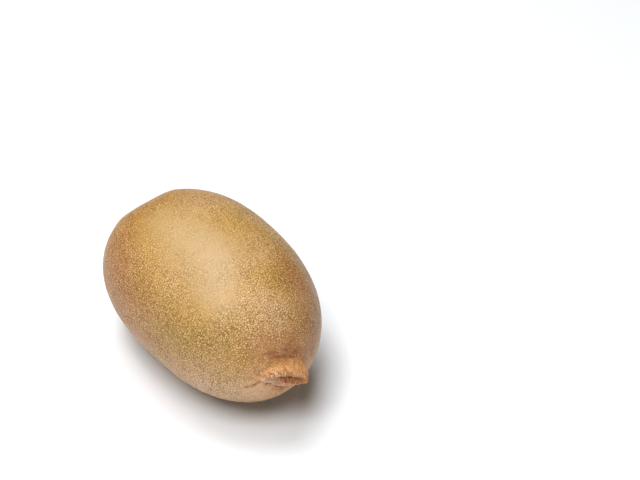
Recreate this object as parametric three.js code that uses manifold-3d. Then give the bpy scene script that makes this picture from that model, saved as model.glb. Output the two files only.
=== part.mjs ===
// A whole golden kiwi fruit, lying on its side. Millimetres, +Z up, resting on z = 0, with the
// origin under the middle of its length and width.
// The fruit grew in one piece, so it is one solid: an egg-shaped body, blunt at the stem end (-X)
// and rounded at the blossom end (+X) into a short, broad, crooked beak. The beak's ragged rim is a
// long oval round a crater that is deep at one end, where dried stubs of the styles stand. The stem
// end has a shallow dimple with the corky collar and the pit that the stalk left.
// The skin is rings of points from the stem end to the crater. Each point is placed on a straight
// axis first, then bowed, pressed in at the shoulder and laid down.
import * as THREE from "three";
import { mergeVertices } from "three/addons/utils/BufferGeometryUtils.js";
import Module from "manifold-3d";

// Body
const WIDTH = 50; // across the fruit, level with the table
const DEPTH = 47.5; // across the fruit, upright
const STEM_END = { reach: 31, along: 2, across: 2.94 }; // from the widest section, with the
const BEAK_END = { reach: 42.7, along: 2.74, across: 1.9 }; // superellipse powers of each end
const BOW = { side: 1.1, up: 1.6, length: 38 }; // the axis is bent, and crosses zero at this length
const SHOULDER = { up: 45.8, round: 98.2, distance: 28.05, soft: 1.2 }; // pressed flat, facing this way
const LOBES = { count: 3, share: 0.004, phase: 0.6 }; // faint corners of the cross-section

// Stem end, by distance from the axis
const DIMPLE = { radius: 7.5, depth: 1.2 };
const COLLAR = { radius: 2.9, width: 0.7, height: 0.8 };
const SEPALS = { count: 5, share: 0.35 }; // what is left of the sepals makes the collar uneven
const STALK_PIT = { radius: 2, depth: 0.9 };
const SCAR_RADII = [0.8, 1.4, 1.9, 2.3, 2.7, 3.1, 3.5, 4.1, 4.9, 5.9, 7.1];

// Beak, in the straight body's own axes: +X along it, +Y to its side
const FOOT = { side: -1.8, up: -2.15, long: 8.7, short: 7.2, power: 2.3 }; // where it leaves the body
const BEAK_MIDDLE = new THREE.Vector3(43.93, -1.76, 0.48); // the middle of its rim
const BEAK_TURN = { down: 16.5, side: 24.5, roll: -19.7 }; // how the rim's plane is turned, in degrees
const WALL = { reach: 0.7, lift: 0.12 }; // the bend of its wall, as shares of the way to the rim
const STEEP_SIDE = { lift: 0.68, toward: 15, power: 3 }; // the bend stands higher toward this angle
const RIM = { long: 6.5, short: 2.9, ragged: 0.25 };
const LIP = { thin: 0.4, thick: 0.7, from: -0.2, to: 0.8 }; // its radius; the upper side's is thick
const LIP_TURN = 120; // how far the rim's round edge goes over into the crater, in degrees
const CRATER = { depth: 0.3, shallow: 0.5, from: -0.4, to: 0.4 }; // the shallow end's share, and where
const RIDGE_DEPTH = 0.08; // dried ridges up its wall
const RIDGE_WAVES = [ // shares of the depth: so many crests round the wall
  { share: 0.6, count: 11, phase: 0 },
  { share: 0.4, count: 17, phase: 2 },
];
const RIM_WAVES = [
  { share: 1, count: 2, phase: 1 },
  { share: 0.6, count: 5, phase: 0 },
  { share: 0.4, count: 9, phase: 2 },
];
const STYLES = { count: 15, radius: 0.28, taper: 0.6, length: 1.2, sunk: 0.5, sides: 5 };
const TUFT = { along: 2.4, up: -0.6, long: 2.4, short: 0.9 }; // where they stand in the crater
const STYLE_LEAN = { most: 20, least: 0.6, spread: 0.8 }; // outward, in degrees and shares of them
const STYLE_LENGTHS = { least: 0.75, spread: 0.5 }; // shares of the length

// How it lies
const REST_TILT = 0.8; // degrees, beak down, with the weight over the foot
const FOOT_DEPTH = 0.3; // the spot it rests on is pressed flat by this much

// How finely the skin is divided
const AROUND = 80;
const STEM_RINGS = 13;
const BEAK_RINGS = 14;
const APRON = { from: 14, rings: 5 }; // round rings up to this radius, then drawn to the beak's foot
const WALL_RINGS = 8;
const LIP_RINGS = 4;
const CRATER_RINGS = 4;

const rad = THREE.MathUtils.degToRad;
const { seededRandom, smoothstep, lerp } = THREE.MathUtils;
const AXIS_X = new THREE.Vector3(1, 0, 0);
const AXIS_Y = new THREE.Vector3(0, 1, 0);
const AXIS_Z = new THREE.Vector3(0, 0, 1);
const QUARTER = Math.PI / 2;
const MEAN_RADIUS = (WIDTH + DEPTH) / 4;
const SHOULDER_FACING = new THREE.Vector3(
  -Math.cos(rad(SHOULDER.up)),
  Math.sin(rad(SHOULDER.up)) * Math.cos(rad(SHOULDER.round)),
  Math.sin(rad(SHOULDER.up)) * Math.sin(rad(SHOULDER.round)),
);

/** Angle along an end's superellipse, 0 at its pole, at which it has this radius. */
function poleAngle(end, radius) {
  return Math.asin((radius / MEAN_RADIUS) ** (end.across / 2));
}

/** Distance along the axis and radius of an end's superellipse at an angle from its pole. */
function arc(end, angle) {
  const along = end.reach * Math.cos(angle) ** (2 / end.along);
  const radius = MEAN_RADIUS * Math.sin(angle) ** (2 / end.across);
  return { along, radius };
}

/** How far the stem end is sunk, or raised if negative, at a distance from the axis. */
function scarSink(radius, angle) {
  const dimple = DIMPLE.depth * (1 - smoothstep(radius, 0, DIMPLE.radius));
  const pit = STALK_PIT.depth * (1 - smoothstep(radius, 0, STALK_PIT.radius));
  const uneven = 1 + SEPALS.share * Math.cos(SEPALS.count * angle);
  const collar = COLLAR.height * uneven * Math.exp(-(((radius - COLLAR.radius) / COLLAR.width) ** 2));
  return dimple + pit - collar;
}

/** Rings of the stem half, from the scar out to the widest section. */
function stemRings() {
  const scar = SCAR_RADII.map((radius) => ({ ...arc(STEM_END, poleAngle(STEM_END, radius)), scar: true }));
  const start = poleAngle(STEM_END, SCAR_RADII.at(-1));
  const steps = Array.from({ length: STEM_RINGS }, (_, i) => (i + 1) / STEM_RINGS);
  const rest = steps.map((share) => arc(STEM_END, start + (QUARTER - start) * share));
  return [...scar, ...rest].map((ring) => ({ ...ring, along: -ring.along }));
}

/** Rings of the beak half, from past the widest section to where the apron starts. */
function beakHalfRings() {
  const end = poleAngle(BEAK_END, APRON.from);
  const steps = Array.from({ length: BEAK_RINGS }, (_, i) => (i + 1) / BEAK_RINGS);
  return steps.map((share) => arc(BEAK_END, QUARTER + (end - QUARTER) * share));
}

/** Bows, presses and lays down a point that was placed on the straight axis. */
function settle(point) {
  const bowed = 1 - (point.x / BOW.length) ** 2;
  point.y += BOW.side * bowed;
  point.z += BOW.up * bowed;
  const past = point.dot(SHOULDER_FACING) - SHOULDER.distance;
  if (past > 0) {
    const kept = SHOULDER.soft * (1 - Math.exp(-past / SHOULDER.soft));
    point.addScaledVector(SHOULDER_FACING, kept - past);
  }
  return point.applyAxisAngle(AXIS_Y, rad(REST_TILT));
}

/** How much wider than round the body is at an angle. */
function lobesAt(angle) {
  return 1 + LOBES.share * Math.cos(LOBES.count * angle + LOBES.phase);
}

/** A point of the body's skin. */
function bodyPoint(ring, angle) {
  const share = (ring.radius / MEAN_RADIUS) * lobesAt(angle);
  const along = ring.scar ? ring.along + scarSink(ring.radius, angle) : ring.along;
  const y = (share * WIDTH * Math.cos(angle)) / 2;
  const z = (share * DEPTH * Math.sin(angle)) / 2;
  return settle(new THREE.Vector3(along, y, z));
}

/** The point of the blossom end's cap that has this side and height, on the straight axis. */
function capPoint(y, z, lobes = 1) {
  const radius = (MEAN_RADIUS * Math.hypot((2 * y) / WIDTH, (2 * z) / DEPTH)) / lobes;
  return new THREE.Vector3(arc(BEAK_END, poleAngle(BEAK_END, radius)).along, y, z);
}

/** The point of the beak's foot at an angle. */
function footPoint(angle) {
  const squared = (value) => Math.sign(value) * Math.abs(value) ** (2 / FOOT.power);
  const y = FOOT.side + FOOT.long * squared(Math.cos(angle));
  return capPoint(y, FOOT.up + FOOT.short * squared(Math.sin(angle)));
}

/** A point part of the way from the last round ring to the beak's foot, on the cap. */
function apronPoint(share, angle) {
  const foot = footPoint(angle);
  const lobes = lobesAt(angle);
  const round = (APRON.from / MEAN_RADIUS) * lobes;
  const y = lerp((round * WIDTH * Math.cos(angle)) / 2, foot.y, share);
  const z = lerp((round * DEPTH * Math.sin(angle)) / 2, foot.z, share);
  return settle(capPoint(y, z, lerp(lobes, 1, share)));
}

/** Sum of waves round the beak at an angle. */
function waves(parts, angle) {
  return parts.reduce((sum, { share, count, phase }) => sum + share * Math.cos(count * angle + phase), 0);
}

const BEAK_FACING = new THREE.Quaternion()
  .setFromAxisAngle(AXIS_Z, -rad(BEAK_TURN.side))
  .multiply(new THREE.Quaternion().setFromAxisAngle(AXIS_Y, rad(BEAK_TURN.down)))
  .multiply(new THREE.Quaternion().setFromAxisAngle(AXIS_X, rad(BEAK_TURN.roll)));

/** A point in the beak's own axes: so high over the rim, and beside its middle. */
function fromRim(height, across, upward) {
  return new THREE.Vector3(height, across, upward).applyQuaternion(BEAK_FACING).add(BEAK_MIDDLE);
}

/** Radius of the rim's round edge at an angle. */
function lipRadius(angle) {
  return lerp(LIP.thin, LIP.thick, smoothstep(Math.sin(angle), LIP.from, LIP.to));
}

/** A point of the rim, so far in from its outer edge and so far over it. */
function rimPoint(inward, height, angle) {
  const ridge = RIDGE_DEPTH * waves(RIDGE_WAVES, angle) * Math.max(0, 1 - inward / lipRadius(angle));
  const out = ridge - inward;
  const across = (RIM.long + out) * Math.cos(angle);
  return fromRim(height + RIM.ragged * waves(RIM_WAVES, angle), across, (RIM.short + out) * Math.sin(angle));
}

/** How far in and how high the rim's round edge is, part of the way over it. */
function overLip(share, angle) {
  const radius = lipRadius(angle);
  const turn = rad(LIP_TURN) * share;
  return { inward: radius * (1 - Math.cos(turn)), height: radius * Math.sin(turn) };
}

/** A point of the rim's round edge, part of the way over it. */
function lipPoint(share, angle) {
  const { inward, height } = overLip(share, angle);
  return settle(rimPoint(inward, height, angle));
}

/** A point of the beak's wall, part of the way up the bend from its foot to its rim. */
function wallPoint(share, angle) {
  const foot = footPoint(angle);
  const rim = rimPoint(0, 0, angle);
  const bend = capPoint(lerp(foot.y, rim.y, WALL.reach), lerp(foot.z, rim.z, WALL.reach));
  const steep = ((1 + Math.cos(angle - rad(STEEP_SIDE.toward))) / 2) ** STEEP_SIDE.power;
  bend.x = lerp(bend.x, rim.x, WALL.lift + STEEP_SIDE.lift * steep);
  const rising = foot.lerp(bend, share);
  return settle(rising.lerp(bend.lerp(rim, share), share));
}

/** A point of the crater's floor, by its share of the mouth's width. */
function craterPoint(share, angle) {
  const { inward, height } = overLip(1, angle);
  const across = (RIM.long - inward) * share * Math.cos(angle);
  const upward = (RIM.short - inward) * share * Math.sin(angle);
  const deep = smoothstep(across / RIM.long, CRATER.from, CRATER.to);
  const sunk = CRATER.depth * Math.sqrt(1 - share ** 2) * lerp(CRATER.shallow, 1, deep);
  const edge = (height + RIM.ragged * waves(RIM_WAVES, angle)) * share ** 2;
  return settle(fromRim(edge - sunk, across, upward));
}

/** Rings of the apron and the beak: up its wall, over the rim and down into the crater. */
function beakRings(angles) {
  const shares = (count) => Array.from({ length: count }, (_, i) => (i + 1) / count);
  const apron = shares(APRON.rings).map((share) => angles.map((a) => apronPoint(share, a)));
  const wall = shares(WALL_RINGS).map((share) => angles.map((a) => wallPoint(share, a)));
  const lip = shares(LIP_RINGS).map((share) => angles.map((a) => lipPoint(share, a)));
  const crater = shares(CRATER_RINGS).map((share) => {
    const width = Math.cos((QUARTER * share * CRATER_RINGS) / (CRATER_RINGS + 1));
    return angles.map((a) => craterPoint(width, a));
  });
  return [...apron, ...wall, ...lip, ...crater];
}

/** Closed skin over rings of points, with one point closing each end. */
function closedSkin(rings, firstPole, lastPole) {
  const points = [firstPole, ...rings.flat(), lastPole];
  const last = points.length - 1;
  const lastRing = last - AROUND;
  const faces = [];
  for (let side = 0; side < AROUND; side += 1) {
    const next = (side + 1) % AROUND;
    faces.push(0, 1 + next, 1 + side);
    faces.push(last, lastRing + side, lastRing + next);
    for (let ring = 0; ring < rings.length - 1; ring += 1) {
      const near = 1 + ring * AROUND;
      const far = near + AROUND;
      faces.push(near + side, near + next, far + next);
      faces.push(near + side, far + next, far + side);
    }
  }
  const geometry = new THREE.BufferGeometry().setFromPoints(points);
  geometry.setIndex(faces);
  return geometry;
}

/** The fruit's skin as one closed surface. */
function fruitSkin() {
  const angles = Array.from({ length: AROUND }, (_, i) => (2 * Math.PI * i) / AROUND);
  const body = [...stemRings(), ...beakHalfRings()].map((ring) => angles.map((a) => bodyPoint(ring, a)));
  const stemPole = bodyPoint({ along: -STEM_END.reach, radius: 0, scar: true }, 0);
  return closedSkin([...body, ...beakRings(angles)], stemPole, craterPoint(0, 0));
}

/** One dried style: a thin stub that tapers, its root sunk under the crater's floor. */
function styleStub(index) {
  const angle = index * Math.PI * (3 - Math.sqrt(5));
  const spread = Math.sqrt((index + 0.5) / STYLES.count);
  const leaning = STYLE_LEAN.least + STYLE_LEAN.spread * seededRandom(index + 11);
  const lean = rad(STYLE_LEAN.most) * spread * leaning;
  const length = STYLES.length * (STYLE_LENGTHS.least + STYLE_LENGTHS.spread * seededRandom(index + 101));
  const foot = -CRATER.depth * Math.sqrt(1 - spread ** 2 / 2) - STYLES.sunk;
  const across = TUFT.along + TUFT.long * spread * Math.cos(angle);
  const upward = TUFT.up + TUFT.short * spread * Math.sin(angle);
  const root = settle(fromRim(foot, across, upward));
  const out = length * Math.sin(lean);
  const tipAcross = across + out * Math.cos(angle);
  const tip = settle(fromRim(foot + length * Math.cos(lean), tipAcross, upward + out * Math.sin(angle)));
  const upright = tip.clone().sub(root);
  const tipRadius = STYLES.radius * STYLES.taper;
  const stub = new THREE.CylinderGeometry(tipRadius, STYLES.radius, upright.length(), STYLES.sides);
  stub.applyQuaternion(new THREE.Quaternion().setFromUnitVectors(AXIS_Y, upright.clone().normalize()));
  const middle = root.add(tip).multiplyScalar(0.5);
  return stub.translate(middle.x, middle.y, middle.z);
}

const wasm = await Module();
wasm.setup();

/** A closed geometry as a solid that can be joined and cut. */
function solid(geometry) {
  geometry.deleteAttribute("normal");
  geometry.deleteAttribute("uv");
  const merged = mergeVertices(geometry);
  const mesh = new wasm.Mesh({
    numProp: 3,
    vertProperties: new Float32Array(merged.attributes.position.array),
    triVerts: new Uint32Array(merged.index.array),
  });
  return new wasm.Manifold(mesh);
}

/** A solid back as a geometry. */
function geometryOf(body) {
  const mesh = body.getMesh();
  const geometry = new THREE.BufferGeometry();
  geometry.setAttribute("position", new THREE.BufferAttribute(mesh.vertProperties, mesh.numProp));
  geometry.setIndex(new THREE.BufferAttribute(mesh.triVerts, 1));
  geometry.computeVertexNormals();
  return geometry;
}

const skin = fruitSkin();
skin.computeBoundingBox();
const footLevel = skin.boundingBox.min.z + FOOT_DEPTH;
const styles = Array.from({ length: STYLES.count }, (_, index) => solid(styleStub(index)));
const grown = styles.reduce((body, style) => body.add(style), solid(skin));
const table = new THREE.BoxGeometry(4 * WIDTH, 4 * WIDTH, WIDTH).translate(0, 0, footLevel - WIDTH / 2);
const fruitGeometry = geometryOf(grown.subtract(solid(table)));
fruitGeometry.computeBoundingBox();
const middle = fruitGeometry.boundingBox.getCenter(new THREE.Vector3());

const skinFinish = new THREE.MeshStandardMaterial({ color: 0xb08a55, roughness: 0.62, metalness: 0 });
const fruit = new THREE.Mesh(fruitGeometry, skinFinish);
fruit.name = "fruit";
fruit.position.set(-middle.x, -middle.y, -footLevel);

const kiwi = new THREE.Group();
kiwi.add(fruit);

export default kiwi;
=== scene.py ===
"""A whole golden kiwi fruit lying on a pale studio floor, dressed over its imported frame."""
from __future__ import annotations

import logging
import math
import random
from collections.abc import Callable, Iterable
from dataclasses import dataclass, field, replace
from enum import Enum

import bmesh
import bpy
from mathutils import Matrix, Vector, noise

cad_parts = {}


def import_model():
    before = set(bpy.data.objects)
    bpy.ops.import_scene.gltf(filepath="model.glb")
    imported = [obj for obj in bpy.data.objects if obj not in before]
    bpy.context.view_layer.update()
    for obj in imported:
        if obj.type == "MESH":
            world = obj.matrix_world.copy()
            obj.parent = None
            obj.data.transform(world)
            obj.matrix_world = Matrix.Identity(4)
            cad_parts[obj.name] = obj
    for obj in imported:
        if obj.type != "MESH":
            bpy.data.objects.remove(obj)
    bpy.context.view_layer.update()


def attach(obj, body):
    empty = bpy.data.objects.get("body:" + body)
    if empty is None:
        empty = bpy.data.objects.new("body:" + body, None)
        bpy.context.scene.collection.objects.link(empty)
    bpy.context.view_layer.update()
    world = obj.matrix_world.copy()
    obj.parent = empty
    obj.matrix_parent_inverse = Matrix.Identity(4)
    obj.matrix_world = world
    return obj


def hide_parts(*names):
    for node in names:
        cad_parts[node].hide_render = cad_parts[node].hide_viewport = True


LOG = logging.getLogger("golden_kiwi")
MM = 0.001
ZONE_LAYER = "finish_zones"
TINT_LAYER = "finish_tints"
TO_FRAME = (-7.59, -1.18, 21.86)  # from the fruit's own axes to the frame, in millimetres
Colour = tuple[float, float, float, float]
Wave = tuple[int, float, float]  # how many go round the axis, how far they are turned, and their height


def linear(value: float) -> float:
    """One channel of a display colour, 0 to 255, as a linear share of 1."""
    share = value / 255
    return share / 12.92 if share <= 0.04045 else ((share + 0.055) / 1.055) ** 2.4


def srgb(red: float, green: float, blue: float) -> Colour:
    """A display colour, 0 to 255 a channel, as the linear colour that a shader takes."""
    return (linear(red), linear(green), linear(blue), 1.0)


def smoothstep(value: float, low: float, high: float) -> float:
    """0 up to low, 1 from high on, and an even curve between them."""
    share = min(1.0, max(0.0, (value - low) / (high - low)))
    return share * share * (3 - 2 * share)


def bell(distance: float, width: float) -> float:
    """1 at no distance, falling away smoothly over about twice the width."""
    return math.exp(-((distance / width) ** 2))


def waves(angle: float, parts: tuple[Wave, ...]) -> float:
    """Adds up waves that run round the axis."""
    return sum(height * math.cos(count * angle + start) for count, start, height in parts)


def lumps(point: Vector, size: float, height: float = 1.0) -> float:
    """Lumpy noise at a point, its lumps of a size and a height in millimetres."""
    return height * noise.noise(point / size)


def ripple(angle: float, count: int, wander: float) -> float:
    """Ripples across the way round the axis, -1 in a furrow and 1 on a crest, that wander."""
    return math.cos(count * angle + wander)


# ---------------------------------------------------------------------------------------------
# The fruit's form, in millimetres
# ---------------------------------------------------------------------------------------------


class Zone(Enum):
    """The stretches of skin from the stem end to the floor of the crater, with each one's rings."""

    SCAR = 36
    STEM_HALF = 90
    BEAK_HALF = 80
    APRON = 24
    WALL = 44
    LIP = 14
    CRATER = 12


@dataclass(frozen=True)
class Station:
    """One ring of the skin.

    On the body, along and radius place it: the distance along the axis and the mean radius. From
    the apron on, part does: how far through its zone it is, from 0 to 1.
    """

    zone: Zone
    part: float
    along: float = 0.0
    radius: float = 0.0


@dataclass(frozen=True)
class End:
    """One end of the body: its reach from the widest section and its superellipse powers."""

    reach: float
    along_power: float
    across_power: float

    def pole_angle(self, share: float) -> float:
        """Angle from the pole at which the end has this share of the widest radius."""
        return math.asin(min(1.0, share) ** (self.across_power / 2))

    def arc(self, angle: float) -> tuple[float, float]:
        """Distance along the axis, and share of the widest radius, at an angle from the pole."""
        along = self.reach * max(0.0, math.cos(angle)) ** (2 / self.along_power)
        return along, math.sin(angle) ** (2 / self.across_power)


def squared(value: float, power: float) -> float:
    """A sine or cosine drawn out so that it traces a squarer oval than an ellipse."""
    return math.copysign(abs(value) ** (2 / power), value)


def turned(side: float, down: float, roll: float) -> Matrix:
    """A turn to one side, then down, then about the axis itself.

    Args:
        side: Turn to the side, in degrees.
        down: Turn downwards, in degrees.
        roll: Turn about the axis, in degrees.

    Returns:
        The three turns as one.
    """
    level = Matrix.Rotation(-math.radians(side), 3, "Z")
    tipped = Matrix.Rotation(math.radians(down), 3, "Y")
    return level @ tipped @ Matrix.Rotation(math.radians(roll), 3, "X")


@dataclass(frozen=True)
class BeakForm:
    """The beak, in the straight body's axes: where it leaves the body, its wall, rim and crater."""

    foot_side: float = -1.8
    foot_up: float = -2.15
    foot_long: float = 8.7
    foot_short: float = 7.2
    foot_power: float = 2.3
    middle: tuple[float, float, float] = (43.93, -1.76, 0.48)
    turn_side: float = 24.5
    turn_down: float = 16.5
    turn_roll: float = -19.7
    bend_reach: float = 0.7
    bend_lift: float = 0.12
    steep_lift: float = 0.68
    steep_toward: float = 15.0
    steep_power: int = 3
    rim_long: float = 6.5
    rim_short: float = 2.9
    rim_ragged: float = 0.25
    rim_waves: tuple[Wave, ...] = ((2, 1.0, 1.0), (5, 0.0, 0.6), (9, 2.0, 0.4))
    lip_thin: float = 0.4
    lip_thick: float = 0.7
    lip_turn: float = 120.0
    crater_depth: float = 0.3
    crater_shallow: float = 0.5
    ridge_depth: float = 0.08
    ridge_waves: tuple[Wave, ...] = ((11, 0.0, 0.6), (17, 2.0, 0.4))

    def ragged(self, angle: float) -> float:
        """How far the rim stands over its mean height at an angle."""
        return self.rim_ragged * waves(angle, self.rim_waves)

    def foot(self, angle: float) -> tuple[float, float]:
        """Side and height of the foot's point at an angle."""
        side = self.foot_side + self.foot_long * squared(math.cos(angle), self.foot_power)
        return side, self.foot_up + self.foot_short * squared(math.sin(angle), self.foot_power)

    def from_rim(self, height: float, across: float, upward: float) -> Vector:
        """A point in the beak's own axes: so high over the rim, and beside its middle."""
        facing = turned(self.turn_side, self.turn_down, self.turn_roll)
        return facing @ Vector((height, across, upward)) + Vector(self.middle)

    def lift(self, angle: float) -> float:
        """How high the wall's bend stands, as a share of the way to the rim."""
        steep = ((1 + math.cos(angle - math.radians(self.steep_toward))) / 2) ** self.steep_power
        return self.bend_lift + self.steep_lift * steep

    def lip(self, angle: float) -> float:
        """Radius of the rim's round edge, which is thick on its upper side."""
        thicker = self.lip_thick - self.lip_thin
        return self.lip_thin + thicker * smoothstep(math.sin(angle), -0.2, 0.8)

    def over_lip(self, part: float, angle: float) -> tuple[float, float]:
        """How far in and how high the rim's round edge is, part of the way over it."""
        turn = math.radians(self.lip_turn) * part
        return self.lip(angle) * (1 - math.cos(turn)), self.lip(angle) * math.sin(turn)

    def rim(self, inward: float, height: float, angle: float) -> Vector:
        """A point of the rim.

        Args:
            inward: How far in from the rim's outer edge it is.
            height: How far over that edge it is.
            angle: Its angle round the mouth.

        Returns:
            The point, in the straight body's axes.
        """
        ridge = self.ridge_depth * waves(angle, self.ridge_waves)
        out = ridge * max(0.0, 1 - inward / self.lip(angle)) - inward
        across = (self.rim_long + out) * math.cos(angle)
        return self.from_rim(height + self.ragged(angle), across, (self.rim_short + out) * math.sin(angle))

    def floor(self, share: float, angle: float) -> Vector:
        """A point of the crater's floor.

        Args:
            share: Its share of the way from the middle to the rim, from 0 to 1.
            angle: Its angle round the mouth.

        Returns:
            The point, in the straight body's axes.
        """
        inward, height = self.over_lip(1.0, angle)
        across = (self.rim_long - inward) * share * math.cos(angle)
        upward = (self.rim_short - inward) * share * math.sin(angle)
        deep = smoothstep(across / self.rim_long, -0.4, 0.4)
        shallow = self.crater_shallow + (1 - self.crater_shallow) * deep
        sunk = self.crater_depth * math.sqrt(1 - share**2) * shallow
        return self.from_rim((height + self.ragged(angle)) * share**2 - sunk, across, upward)


@dataclass(frozen=True)
class FruitForm:
    """The fruit's form: a bowed egg with a crooked beak, lying on its side on a small flat foot."""

    width: float = 50.0
    depth: float = 47.5
    stem_end: End = End(31.0, 2.0, 2.94)
    beak_end: End = End(42.7, 2.74, 1.9)
    bow_side: float = 1.1
    bow_up: float = 1.6
    bow_length: float = 38.0
    lobe_waves: tuple[Wave, ...] = ((3, 0.6, 0.004),)
    shoulder_up: float = 45.8
    shoulder_round: float = 98.2
    shoulder_distance: float = 28.05
    shoulder_soft: float = 1.2
    scar_radius: float = 7.1
    dimple_radius: float = 7.5
    dimple_depth: float = 1.2
    collar_radius: float = 2.9
    collar_width: float = 0.7
    collar_height: float = 0.8
    collar_waves: tuple[Wave, ...] = ((5, 0.0, 0.35),)
    pit_radius: float = 2.0
    pit_depth: float = 0.9
    apron_from: float = 14.0
    beak: BeakForm = BeakForm()
    rest_tilt: float = 0.8
    to_frame: tuple[float, float, float] = TO_FRAME

    @property
    def mean_radius(self) -> float:
        """Mean radius of the widest section."""
        return (self.width + self.depth) / 4

    def station(self, share: float) -> Station:
        """The ring at a share of the way from the stem pole to the crater's middle.

        Args:
            share: 0 at the stem pole, 1 at the middle of the crater.

        Returns:
            The ring's station.
        """
        rings = share * sum(zone.value for zone in Zone)
        zone = Zone.CRATER
        for candidate in Zone:
            if rings <= candidate.value + 1e-6:
                zone = candidate
                break
            rings -= candidate.value
        return self._in_zone(zone, min(1.0, rings / zone.value))

    def _in_zone(self, zone: Zone, part: float) -> Station:
        """The ring part of the way through a zone.

        Args:
            zone: The zone.
            part: How far through it the ring is, from 0 to 1.

        Returns:
            The ring's station.
        """
        widest = math.pi / 2
        if zone is Zone.SCAR:
            radius = self.scar_radius * part
            along, _ = self.stem_end.arc(self.stem_end.pole_angle(radius / self.mean_radius))
            return Station(zone, part, -along, radius)
        if zone is Zone.STEM_HALF:
            start = self.stem_end.pole_angle(self.scar_radius / self.mean_radius)
            along, out = self.stem_end.arc(start + (widest - start) * part)
            return Station(zone, part, -along, out * self.mean_radius)
        if zone is Zone.BEAK_HALF:
            finish = self.beak_end.pole_angle(self.apron_from / self.mean_radius)
            along, out = self.beak_end.arc(widest + (finish - widest) * part)
            return Station(zone, part, along, out * self.mean_radius)
        return Station(zone, part)

    def settle(self, point: Vector) -> Vector:
        """Bows, presses and lays down a point that was placed on the straight axis.

        Args:
            point: The point on the straight axis, in the fruit's own millimetres.

        Returns:
            The point in the frame, in millimetres.
        """
        bowed = 1 - (point.x / self.bow_length) ** 2
        point = point + Vector((0, self.bow_side, self.bow_up)) * bowed
        up, turn = math.radians(self.shoulder_up), math.radians(self.shoulder_round)
        facing = Vector((-math.cos(up), math.sin(up) * math.cos(turn), math.sin(up) * math.sin(turn)))
        past = point.dot(facing) - self.shoulder_distance
        if past > 0:
            kept = self.shoulder_soft * (1 - math.exp(-past / self.shoulder_soft))
            point = point + facing * (kept - past)
        return Matrix.Rotation(math.radians(self.rest_tilt), 3, "Y") @ point + Vector(self.to_frame)

    def place(self, station: Station, angle: float) -> Vector:
        """The skin's point on a ring at an angle round it.

        Args:
            station: The ring.
            angle: The angle round it.

        Returns:
            The point in the frame, in millimetres.
        """
        makers = {
            Zone.APRON: self._apron,
            Zone.WALL: self._wall,
            Zone.LIP: self._lip,
            Zone.CRATER: self._crater,
        }
        return self.settle(makers.get(station.zone, self._body)(station, angle))

    def lobes(self, angle: float) -> float:
        """How much wider than round the body is at an angle."""
        return 1 + waves(angle, self.lobe_waves)

    def scar_sink(self, radius: float, angle: float) -> float:
        """How far the stem end is sunk: dimple and pit, less the collar round the pit.

        Args:
            radius: Distance from the axis.
            angle: Angle round the axis.

        Returns:
            The depth in millimetres, below 0 where the collar stands out.
        """
        dimple = self.dimple_depth * (1 - smoothstep(radius, 0, self.dimple_radius))
        pit = self.pit_depth * (1 - smoothstep(radius, 0, self.pit_radius))
        uneven = 1 + waves(angle, self.collar_waves)
        collar = self.collar_height * uneven * bell(radius - self.collar_radius, self.collar_width)
        return dimple + pit - collar

    def _body(self, station: Station, angle: float) -> Vector:
        """A point of the body.

        Args:
            station: The point's ring.
            angle: The point's angle round it.

        Returns:
            The point, in the straight body's axes.
        """
        share = station.radius / self.mean_radius * self.lobes(angle)
        sunk = self.scar_sink(station.radius, angle) if station.zone is Zone.SCAR else 0.0
        y = share * self.width / 2 * math.cos(angle)
        return Vector((station.along + sunk, y, share * self.depth / 2 * math.sin(angle)))

    def _cap(self, y: float, z: float, lobes: float = 1.0) -> Vector:
        """The point of the blossom end's cap that has this side and height."""
        share = math.hypot(2 * y / self.width, 2 * z / self.depth) / lobes
        return Vector((self.beak_end.arc(self.beak_end.pole_angle(share))[0], y, z))

    def _apron(self, station: Station, angle: float) -> Vector:
        """A point of the cap, part of the way from the last round ring to the beak's foot.

        Args:
            station: The point's ring.
            angle: The point's angle round it.

        Returns:
            The point, in the straight body's axes.
        """
        foot_y, foot_z = self.beak.foot(angle)
        lobes = self.lobes(angle)
        outside = self.apron_from / self.mean_radius * lobes
        y = outside * self.width / 2 * math.cos(angle)
        z = outside * self.depth / 2 * math.sin(angle)
        y, z = y + (foot_y - y) * station.part, z + (foot_z - z) * station.part
        return self._cap(y, z, lobes + (1 - lobes) * station.part)

    def _wall(self, station: Station, angle: float) -> Vector:
        """A point of the beak's wall, part of the way up the bend from its foot to its rim.

        Args:
            station: The point's ring.
            angle: The point's angle round it.

        Returns:
            The point, in the straight body's axes.
        """
        beak = self.beak
        foot = self._cap(*beak.foot(angle))
        rim = beak.rim(0, 0, angle)
        between = foot.lerp(rim, beak.bend_reach)
        bend = self._cap(between.y, between.z)
        bend.x += (rim.x - bend.x) * beak.lift(angle)
        return foot.lerp(bend, station.part).lerp(bend.lerp(rim, station.part), station.part)

    def _lip(self, station: Station, angle: float) -> Vector:
        """A point of the rim's round edge."""
        return self.beak.rim(*self.beak.over_lip(station.part, angle), angle)

    def _crater(self, station: Station, angle: float) -> Vector:
        """A point of the crater's floor."""
        return self.beak.floor(math.cos(math.pi / 2 * station.part), angle)


# ---------------------------------------------------------------------------------------------
# Finishes
# ---------------------------------------------------------------------------------------------


class Sum(Enum):
    """The sums that finishes need, each with Blender's name for it."""

    ADD = "ADD"
    LESS = "SUBTRACT"
    TIMES = "MULTIPLY"


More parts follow.
